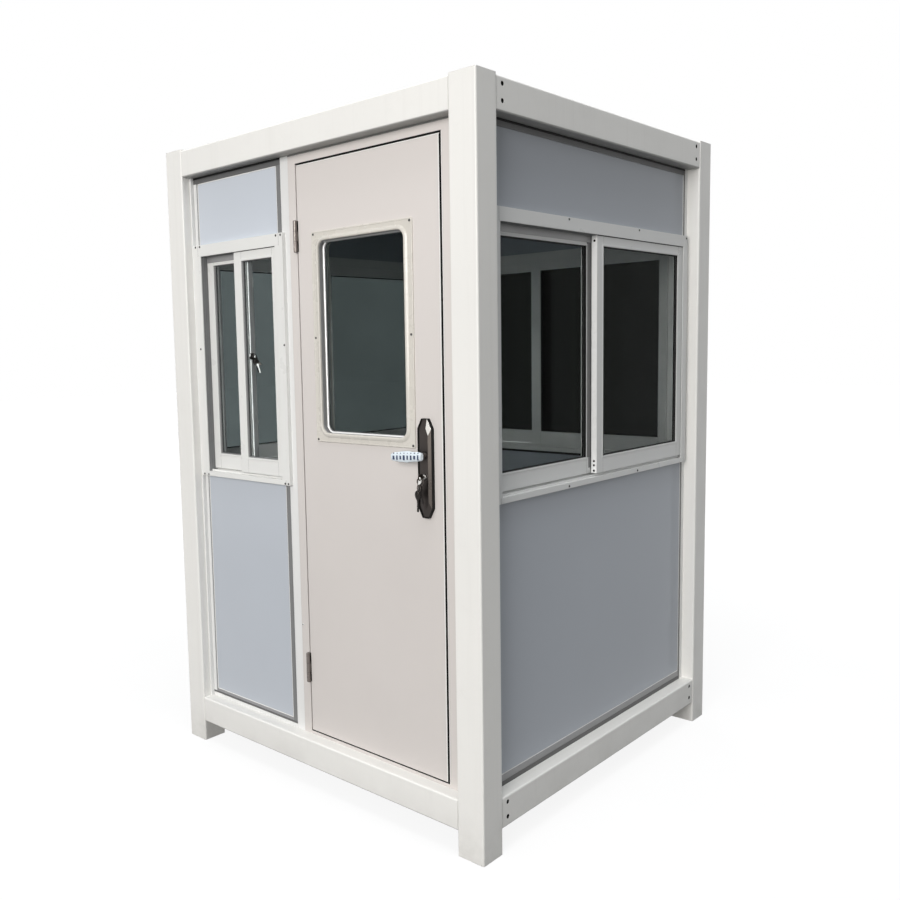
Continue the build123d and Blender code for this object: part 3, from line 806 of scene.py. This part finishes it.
def make_room_details():
    """Covers in the room's corners and coving under the ceiling."""
    (x0, y0, _), (x1, y1, floor_top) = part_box("floor_board")
    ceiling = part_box("roof_panel")[0][2]
    corners = bmesh.new()
    leg, sheet = COVER_LEG, COVER_SHEET
    section = ((0, 0), (leg, 0), (leg, sheet), (sheet, sheet), (sheet, leg), (0, leg))
    for x, way_x in ((x0, 1), (x1, -1)):
        for y, way_y in ((y0, 1), (y1, -1)):
            skin(corners, [[Vector((x + way_x * a, y + way_y * b, z)) for a, b in section]
                for z in (floor_top, ceiling)])
    made("room_corner_covers", corners, STRIP, "white_strip", bevel=0.0006)
    coving = bmesh.new()
    skin(coving, [[Vector((x, y, ceiling - drop)) for x, y in rounded(*shrunk((x0, x1, y0, y1),
        inset))] for inset, drop in COVING], wrap=True)
    made("room_coving", coving, STRIP, "white_strip")


# ---- door

TRIM_WIDTH = (0.032, 0.03)  # at its sides and at its ends
LIGHT_RADIUS = 0.029
BEAD_SHIFT = 0.0065
BORDER_RADIUS = 0.006
TRIM_RIM = ((0.0005, -0.008), (0.0012, 0.001), (0.0003, 0.0035), (-0.0022, 0.005), (-0.006, 0.0048),
    (-0.01, 0.003), (-0.0135, 0.0008), (-0.015, -0.0005))
TRIM_BORDER = ((-0.0006, -0.004), (-0.0006, -0.0008), (0.001, 0.0008), (0.0035, 0.0008),
    (0.005, -0.0004))
DOOR_BEAD = ((0.0004, 0.7), (0.0034, 0.71), (0.0052, 0.76), (0.0056, 0.83), (0.0052, 0.9),
             (0.0034, 0.95), (0.0004, 0.96))  # its heights are shares of the way to the glass
DOOR_SEAL = ((-0.002, 0.0045), (-0.002, 0.0008), (0.002, 0.0004), (0.006, 0.0015), (0.008, 0.0045))
DOOR_GAP = 0.005
LOCK_GAP = 0.008
STRIP_DEPTH = 0.03
EDGE_BLACK = 0.0014
EDGE_LIGHT = 0.0054


def make_door_trim():
    """The rim and border of the door window's trim on both faces, and its screws."""
    for name, trim, way in zip(("outside", "inside"), ordered("door_window_trim"), (1, -1)):
        plate = trim.front if way == 1 else trim.back
        for part, edges, section, radius in (("rim", shrunk(trim, *TRIM_WIDTH), TRIM_RIM,
                LIGHT_RADIUS), ("border", trim[:4], TRIM_BORDER, BORDER_RADIUS)):
            bm = bmesh.new()
            frame_ring(bm, edges, section, radius, plate, way)
            made(f"door_trim_{part}_{name}", bm, TRIM, "door_trim", "door", sharp=50)
        if way == 1:
            screws("door_trim_screws", [(FRONT, u, v, plate) for u in (trim.left + 0.009,
                trim.right - 0.009) for v in (trim.low + 0.008, trim.level, trim.high - 0.008)],
                SCREW, "steel", "door")


def make_door_glazing():
    """What lines the door's window between its trim and its glass, on both faces: a grey groove
    and a black strip that paint the reveal's shade, a pale bead, and a gasket with a grey
    strip of painted shade under its top.
    """
    glass = placed("door_glass")
    trim = placed("door_window_trim")
    left, right, low, high = light = shrunk(trim, *TRIM_WIDTH)
    shifted = (left + BEAD_SHIFT, right, low, high)
    groove, bead, gasket, shadow = (bmesh.new() for _ in range(4))
    for pane, plate in ((glass.front, trim.front), (glass.back, trim.back)):
        deep = pane - plate
        way = copysign(1.0, deep)
        near_glass = pane - way * HAIR
        # painted shade: a grey liner over the outer part of the reveal
        frame_ring(groove, light, ((0.0012, way * 0.003), (0.0012, deep * 0.74),
            (-0.001, deep * 0.74), (-0.001, way * 0.003)), LIGHT_RADIUS, plate)
        frame_ring(bead, shifted, DOOR_BEAD, LIGHT_RADIUS, plate, -deep)
        frame_ring(gasket, shifted, ((0.0004, plate + deep * 0.94), (0.0062, plate + deep * 0.94),
            (0.0074, near_glass), (0.0004, near_glass)), LIGHT_RADIUS)
        block(groove, left + HAIR, left + BEAD_SHIFT + 0.001, low + LIGHT_RADIUS * 0.4,
            high - LIGHT_RADIUS * 0.4, plate + deep * 0.8, near_glass)
        # painted shade: a black strip along the reveal's right edge
        block(shadow, right - 0.0034, right + HAIR, low + LIGHT_RADIUS * 0.8,
            high - LIGHT_RADIUS * 0.8, plate - way * 0.002, plate + way * 0.003)
        # painted shade: a grey strip over the bead under the top of the window
        block(gasket, left + LIGHT_RADIUS * 0.5, right - LIGHT_RADIUS * 0.5, high - 0.0078,
            high - 0.001, plate + deep * 0.33, plate + deep * 0.9)
    made("door_window_groove", groove, INNER_TRACK, body="door")
    made("door_window_bead", bead, POLISHED, "door_trim", "door")
    made("door_window_gasket_shade", gasket, GREY_SEAL, body="door")
    made("door_window_shade", shadow, RUBBER, body="door")


def make_door_seal():
    """The black seal on the frame's stop, round the leaf."""
    leaf = placed("door_leaf")
    seal = bmesh.new()
    frame_ring(seal, leaf[:4], DOOR_SEAL, base=leaf.back)
    made("door_seal", seal, RUBBER)


def make_door_edge():
    """Black strips that paint the shade in the gap round the leaf, painted highlights on the
    leaf's edges and on the frame's lip by the gap, and a painted shade line under the top beam.
    """
    left, right, low, high, face, _ = placed("door_leaf")
    skin_deep = (face - 0.0006, face + THIN)
    # painted shade: black on the leaf's edge in the gap and along its rim
    boxes("door_edge_strip", ((right - HAIR, right + 0.0009, low + 0.001, high - 0.001,
        face + 0.0003, face + STRIP_DEPTH), (right - EDGE_BLACK, right + 0.0009, low + 0.001,
        high - 0.0034, *skin_deep)), RUBBER, body="door")
    # painted highlight: pale strips along the leaf's lock edge and top
    boxes("door_edge_bead", ((right - EDGE_LIGHT, right - EDGE_BLACK, low + 0.001, high - HAIR,
        *skin_deep), (left + 0.004, right - EDGE_LIGHT, high - 0.0032, high - HAIR, *skin_deep)),
        LIGHT_EDGE, "door_paint", "door", bevel=0.0004)
    gap = (left - DOOR_GAP, right + LOCK_GAP)
    gap_low, gap_high = low - DOOR_GAP, high + DOOR_GAP
    inside = (face + 0.001, face + STRIP_DEPTH)
    # painted shade: black strips on the frame inside the gap and on its face over the top
    boxes("door_frame_strips", ((*gap, gap_high - 0.0009, gap_high + HAIR, *inside),
        (*gap, gap_high - HAIR, gap_high + 0.0018, face - 0.0004, face + THIN),
        (*gap, gap_low - HAIR, gap_low + 0.0009, *inside)), RUBBER)
    # painted light: a pale lip on the frame narrows the dark of the gap
    boxes("door_frame_lip", ((gap[1] - 0.0018, gap[1] + HAIR, gap_low, gap_high - HAIR, face - HAIR,
        face + 0.006),), LIGHT_EDGE, "door_paint", bevel=0.0004)
    # painted shade: a dark line on the frame just under the top beam
    head = placed("door_frame")
    top = min(head.high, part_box("front_top_beam")[0][2]) - HAIR
    boxes("door_head_joint", ((head.left, head.right, top - 0.005, top, head.front - 0.0004,
        head.front + 0.001),), SHADE)


# ---- lever and its sleeve

CYLINDER_PROUD = 0.004
LEVER_DROOP = 0.007
LEVER_START = 0.01
NECK_SHARES = (0.0, 0.25, 0.5, 0.7, 0.85, 1.0)
NECK_SIDES = 16
BAR_STEPS = 14
BAR_SIDES = 20
SLEEVE_START = 0.012
SLEEVE_STEPS = 26
SLEEVE_SIDES = 28
SLEEVE_DEPTH = 0.0066
MARKS = 8
MARK_HEIGHTS = (0.0092, 0.0068, 0.0082, 0.0074)
MARK_WIDTHS = (0.0029, 0.004, 0.0034)


def oval(count, power_c, power_s):
    """Angle, cosine and sine round an outline that gets squarer as the powers fall below 1."""
    for i in range(count):
        angle = 2 * pi * i / count
        c, s = cos(angle), sin(angle)
        yield angle, copysign(abs(c) ** power_c, c), copysign(abs(s) ** power_s, s)


def make_lever():
    """The lever on both faces of the door, each a neck and a bar with round edges."""
    lever_box = placed("door_lever")
    plate = placed("lock_plates")
    axis, level = plate.middle, lever_box.level
    lever = bmesh.new()
    for bar, plate_face, way in ((lever_box.front, plate.front + CYLINDER_PROUD, 1),
            (lever_box.back, plate.back - CYLINDER_PROUD, -1)):
        deep = bar + way * 0.007
        rings = []
        for share in NECK_SHARES:
            recess = plate_face + (deep + way * 0.006 - plate_face) * share
            radius = 0.0086 - 0.0022 * sin(pi * min(share, 0.8))
            rings.append([at(axis + radius * c, level + radius * s, recess) for _, c, s in oval(
                NECK_SIDES, 1, 1)])
        skin(lever, rings)
        rings = []
        length = axis + LEVER_START - lever_box.left
        for step in range(BAR_STEPS + 1):
            share = step / BAR_STEPS
            u = axis + LEVER_START - length * share
            grow = sqrt(max(0.0, 1 - max(0.0, (share - 0.93) / 0.08) ** 2))
            if share < 0.06:
                grow *= 0.75 + 0.25 * share / 0.06
            height = (0.0098 - 0.0012 * share) * grow
            depth = (0.0045 - 0.0006 * share) * grow
            rings.append([at(u, level - LEVER_DROOP * share + height * c, deep - depth * s)
                for _, c, s in oval(BAR_SIDES, 0.6, 0.6)])
        skin(lever, rings)
    piece = made("door_lever_dressed", lever, HINGE, "bronze", "lever", sharp=45)
    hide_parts("door_lever")
    make_sleeve(axis + SLEEVE_START, lever_box.left - 0.002, level, lever_box.front)


def make_sleeve(start, finish, level, front):
    """The thin sleeve that still covers the outer lever, drooping a little at its tip."""
    sleeve = bmesh.new()
    rings = []
    for i in range(SLEEVE_STEPS + 1):
        share = i / SLEEVE_STEPS
        u = start + (finish - start) * share
        sag = -0.001 - LEVER_DROOP * share
        height = 0.0165 - 0.0015 * sin(share * 9.0) - 0.0045 * max(0.0, share - 0.9) * 10
        height *= min(1.0, 0.7 + share * 2.4)
        ring = []
        for angle, c, s in oval(SLEEVE_SIDES, 0.9, 0.85):
            crease = 0.0005 * sin(7 * angle + 23 * share) + rng.uniform(-HAIR, HAIR)
            ring.append(at(u, level + sag + (height + crease) * s, max(front + HAIR,
                front + 0.0072 - (SLEEVE_DEPTH + crease) * c)))
        rings.append(ring)
    skin(sleeve, rings)
    made("lever_sleeve", sleeve, SLEEVE, "sleeve", "lever", sharp=70)
    marks = []
    for i in range(MARKS):
        share = (i + 0.8) / (MARKS + 0.6)
        u = start + (finish - start) * share
        height = MARK_HEIGHTS[i % len(MARK_HEIGHTS)]
        width = MARK_WIDTHS[i % len(MARK_WIDTHS)]
        v = level - 0.002 - LEVER_DROOP * share
        marks += [(u - width, u + width, v - height, v + height * 0.7, front, front + 0.0012),
            (u - width * 0.5, u + width * 0.5, v + 0.011, v + 0.014, front + 0.0012, front + 0.006)]
    boxes("lever_sleeve_marks", marks, INK, "sleeve", "lever", bevel=0.0004)


# ---- lock plate, cylinder and keys

CROWN_RISE = 0.004
CROWN_SIDE = 0.011
CROWN_END = 0.03
CROWN_CORNER = 0.7
CROWN_FACET_SHIFT = 0.003
PLATE_CORNER = (0.016, 0.031)
CYLINDER_ABOVE = 0.13
CYLINDER_RING = ((0.0135, -0.001), (0.0135, 0.0008), (0.012, 0.0022), (0.0098, 0.0024),
    (0.0094, 0.0012))
CYLINDER_CORE = ((0.007, -THIN), (0.007, THIN), (0.0062, 0.0009), (0.0012, 0.0009))
TAG_STUD = ((0.004, 0.0), (0.004, 0.0014), (0.003, 0.0022), (0.001, 0.0024))
KEY_RING = 0.0125


def facet(bm, axis, middle, corners, recesses):
    """A thin plate over one sloping face of the lock plate."""
    lift = OUT[FRONT] * 0.0003
    points = [at(axis + u, middle + v, recess) for (u, v), recess in zip(corners, recesses)]
    skin(bm, [[point + lift * share for point in points] for share in (-1, 1)])


def make_lock_plate():
    """Painted light on the outer lock plate's crown: a lighter bronze on its right slope and a
    glint on its upper corner; and a painted shade round the plate where it meets the door.
    """
    plate = placed("lock_plates")
    axis, middle, face = plate.middle, plate.level, plate.front
    half_width, half_height = plate.right - axis, plate.high - middle
    base = face + CROWN_RISE
    corner_u, corner_v = PLATE_CORNER
    inner_u = half_width - CROWN_SIDE
    inner_v = half_height - CROWN_END
    outer = ((half_width, -half_height + corner_v), (half_width, half_height - corner_v),
        (half_width - corner_u, half_height))
    inner = ((inner_u, -inner_v + corner_v * CROWN_CORNER),
        (inner_u, inner_v - corner_v * CROWN_CORNER), (inner_u - corner_u * CROWN_CORNER, inner_v))
    shift = CROWN_FACET_SHIFT
    slope, corner, rim = (bmesh.new() for _ in range(3))
    # painted light on the right slope, and a painted glint on the upper corner
    facet(slope, axis, middle, (outer[0], outer[1], inner[1], inner[0]), (base, base, face, face))
    made("lock_plate_bevel", slope, BEVEL, "bronze", "door")
    facet(corner, axis, middle, (outer[1], outer[2], (inner[2][0] + shift, inner[2][1]),
        (inner[1][0] + shift * 0.5, inner[1][1])), (base, base,
        face + CROWN_RISE * shift / CROWN_SIDE, face))
    made("lock_plate_corner", corner, BRIGHT_FACET, "bronze", "door")
    # painted shade: a black band over the plate's edges and the door beside them
    loop = [(way_u * u, way_v * v) for way_u, way_v, order in ((1, -1, -1), (1, 1, 1), (-1, 1, -1),
        (-1, -1, 1)) for u, v in outer[1:][::order]]
    leaf_face = placed("door_leaf").front
    skin(rim, [[at(axis + u * (1 + grow / half_width), middle + v * (1 + grow / half_height),
        recess) for u, v in loop] for grow, recess in ((0.0006, base + HAIR),
        (0.0006, leaf_face - HAIR), (-0.001, leaf_face - HAIR), (-0.001, base + HAIR))], wrap=True)
    made("lock_plate_shade_rim", rim, RUBBER, body="door")


def make_lock_details():
    """The lock cylinder, and the keys, rings and tag that hang from it."""
    right, out = RIGHT[FRONT], OUT[FRONT]
    plate = placed("lock_plates")
    axis, level, face = plate.middle, plate.low + CYLINDER_ABOVE, plate.front
    ring, core, keys, rings, tag = (bmesh.new() for _ in range(5))
    lathe(ring, at(axis, level, face + 0.0042), out, CYLINDER_RING, 32)
    made("lock_cylinder_ring", ring, BRONZE, "bronze", "door")
    lathe(core, at(axis, level, face), out, CYLINDER_CORE, 28)
    made("lock_cylinder_core", core, STEEL, "steel", "door")
    key(rings, at(axis, level, face - 0.004), -out, UP, 0.006, 0.023)
    hook = at(axis, level - 0.002, face - 0.0185)
    ring_middle = hook - UP * (KEY_RING - 0.001)
    wire_ring(rings, ring_middle, KEY_RING, right, UP, WIRE)
    low = ring_middle - UP * (KEY_RING - 0.002)
    key(keys, low - UP * 0.022 + right * 0.002, -UP + right * 0.22, right + out * 0.3, 0.036, 0.022)
    wire_ring(rings, low - UP * 0.01 - right * 0.006, 0.0105, out * 0.35 + right * 0.93, UP, 0.0016)
    drop = low - UP * 0.021 - right * 0.011
    wire_ring(rings, drop - UP * 0.004, 0.0055, out * 0.5 + right * 0.86, UP, 0.0013)
    key(keys, drop - UP * 0.026, -UP - right * 0.02, right + out * 0.15, 0.038, 0.028)
    made("door_keys", keys, KEY_STEEL, "steel", "door", bevel=0.0003)
    made("door_key_ring", rings, BEVEL, "steel", "door")
    key(tag, low + UP * 0.004 - right * 0.006, -UP - right * 0.45, right + out * 0.2, 0.004, 0.016)
    lathe(tag, hook + out * 0.003, out, TAG_STUD, 16)
    made("door_key_tag", tag, CHROME, "steel", "door", bevel=0.0003)


# ---- hinges and the frame's screw

HINGE_RADIUS = 0.007
PIN_END = ((0.0066, 0.0), (0.006, 0.0012), (0.0042, 0.0024), (0.0015, 0.003))
KNUCKLE_JOINT = ((-0.002, 0.0), (0.0001, 0.0), (0.0001, 0.0012), (-0.002, 0.0012))
FRAME_SCREW = (0.007, 0.583)  # from the frame's left edge, and above the ground


def make_hinge_details():
    """The pins' round ends, the joints between the knuckles, and black strips beside them that
    paint the shade in the gaps by the hinges.
    """
    caps, joints, edges = bmesh.new(), bmesh.new(), []
    leaf = placed("door_leaf")
    joint = [(HINGE_RADIUS + grow, height) for grow, height in KNUCKLE_JOINT]
    for (x0, y0, z0), (_, _, z1) in solids("hinge_frame_halves"):
        centre = (x0 + HINGE_RADIUS, y0 + HINGE_RADIUS)
        for z, way in ((z0, -1), (z1, 1)):
            lathe(caps, (*centre, z), (0, 0, way), PIN_END, 20)
        for share in (1 / 3, 2 / 3):
            lathe(joints, (*centre, z0 + (z1 - z0) * share - 0.0006), (0, 0, 1), joint, 24)
        # painted shade: a black strip beside the barrel
        block(joints, x0 - 0.0028, x0 + 0.003, z0 - THIN, z1 + THIN, leaf.front - 0.0004,
            leaf.front + THIN)
        # painted shade: a black strip at the leaf's hinge edge
        edges.append((leaf.left + HAIR, leaf.left + 0.003, z0 - THIN, z1 + THIN, leaf.front - THIN,
            leaf.front + THIN))
    boxes("hinge_edges", edges, RUBBER, body="door")
    made("hinge_pin_ends", caps, HINGE, "bronze")
    made("hinge_joints_and_shade", joints, RUBBER)


def make_frame_screw():
    """The small painted screw in the door frame's hinge jamb."""
    jamb = placed("door_frame")
    screws("door_frame_screw", [(FRONT, jamb.left + FRAME_SCREW[0], FRAME_SCREW[1], jamb.front)],
        STRIP, "door_paint")


for wall in OUT:
    make_window_details(wall)
    make_wall_details(wall)
make_window_lock()
make_bolts()
make_roof_details()
make_room_details()
make_door_trim()
make_door_glazing()
make_door_seal()
make_door_edge()
make_lever()
make_lock_plate()
make_lock_details()
make_hinge_details()
make_frame_screw()

# ---- stage, light and camera

FLOOR_SIZE = 30.0  # from the booth's middle to each edge
FLOOR_LEVEL = -0.001
FADE = (2.0, 5.0)  # where the floor starts and stops getting whiter
WHITENESS = (0.88, 0.96)
SKY_LIGHT = (0.15, 0.6)  # at the horizon and overhead
CAMERA_PLACE = (2.342, -2.911, 1.574)
CAMERA_ANGLES = (84.025, 1.377, 43.941)
LENS = 36.78
SHIFT = (0.099, -0.0052)


def shown(tree):
    """1 for what the camera sees, directly, in a mirror or through glass."""
    path = node(tree, "LightPath")
    bounced = maths(tree, path.outputs["Is Glossy Ray"], path.outputs["Is Transmission Ray"],
        "MAXIMUM")
    return maths(tree, path.outputs["Is Camera Ray"], bounced, "MAXIMUM")


def make_floor():
    """A pale floor that keeps the booth's shadow and is white where nothing shades it."""
    material, tree, coords = new_material("floor_white")
    colour = blend(tree, noise(tree, coords, 3.0), (0.12, 0.12, 0.12, 1), (0.14, 0.14, 0.14, 1))
    diffuse = node(tree, "BsdfDiffuse", {"Color": colour})
    away = node(tree, "VectorMath", {0: coords}, operation="LENGTH").outputs["Value"]
    whiteness = ramp(tree, away, *FADE, *WHITENESS)
    strength = maths(tree, shown(tree), whiteness)
    glow = node(tree, "Emission", {"Color": (1, 1, 1, 1), "Strength": strength})
    both = node(tree, "AddShader", {0: diffuse, 1: glow})
    node(tree, "OutputMaterial", {"Surface": both})
    mesh = bpy.data.meshes.new("studio_floor")
    corners = ((-1, -1), (1, -1), (1, 1), (-1, 1))
    mesh.from_pydata([(x * FLOOR_SIZE, y * FLOOR_SIZE, FLOOR_LEVEL) for x, y in corners], [],
        [(0, 1, 2, 3)])
    mesh.materials.append(material)
    floor = new_object("studio_floor", mesh)


def make_sky():
    """A plain sky that lights softly, more from above, and looks white."""
    world = bpy.data.worlds.new("studio")
    bpy.context.scene.world = world
    world.use_nodes = True
    tree = world.node_tree
    tree.nodes.clear()
    way = node(tree, "TexCoord").outputs["Generated"]
    height = node(tree, "SeparateXYZ", {0: way}).outputs["Z"]
    light = ramp(tree, height, 0.0, 1.0, *SKY_LIGHT)
    strength = maths(tree, shown(tree), light, "MAXIMUM")
    colour = blend(tree, shown(tree), (0.95, 0.98, 1.0, 1), (1, 1, 1, 1))
    sky = node(tree, "Background", {"Color": colour, "Strength": strength})
    node(tree, "OutputWorld", {"Surface": sky})


def make_lamp(name, place, target, size, power, colour, seen=True):
    """A round soft lamp, aimed at a target. If seen, it shows in gloss and glass."""
    light = bpy.data.lights.new(name, "AREA")
    light.shape = "DISK"
    light.size = size
    light.energy = power
    light.color = colour
    lamp = new_object(name, light)
    lamp.location = place
    lamp.rotation_euler = (Vector(target) - Vector(place)).to_track_quat("-Z", "Y").to_euler()
    lamp.visible_camera = seen
    lamp.visible_glossy = seen
    lamp.visible_transmission = seen


def make_camera():
    camera = bpy.data.cameras.new("camera")
    camera.sensor_width = 36.0
    camera.lens = LENS
    camera.shift_x, camera.shift_y = SHIFT
    holder = new_object("camera", camera)
    holder.location = CAMERA_PLACE
    holder.rotation_euler = [radians(angle) for angle in CAMERA_ANGLES]
    bpy.context.scene.camera = holder


make_floor()
make_sky()
make_lamp("key", (2.6, -9.5, 3.6), (0, 0, 1.3), 6.0, 730, (1.0, 0.98, 0.96))
make_lamp("top", (1.65, -1.65, 9.8), (0, 0, 1.1), 4.0, 375, (0.96, 0.98, 1.0), seen=False)
make_lamp("fill", (-8.0, 8.0, 3.4), (0, 0, 1.1), 6.0, 270, (0.97, 0.98, 1.0), seen=False)
make_camera()
bpy.context.scene.view_settings.view_transform = "Standard"
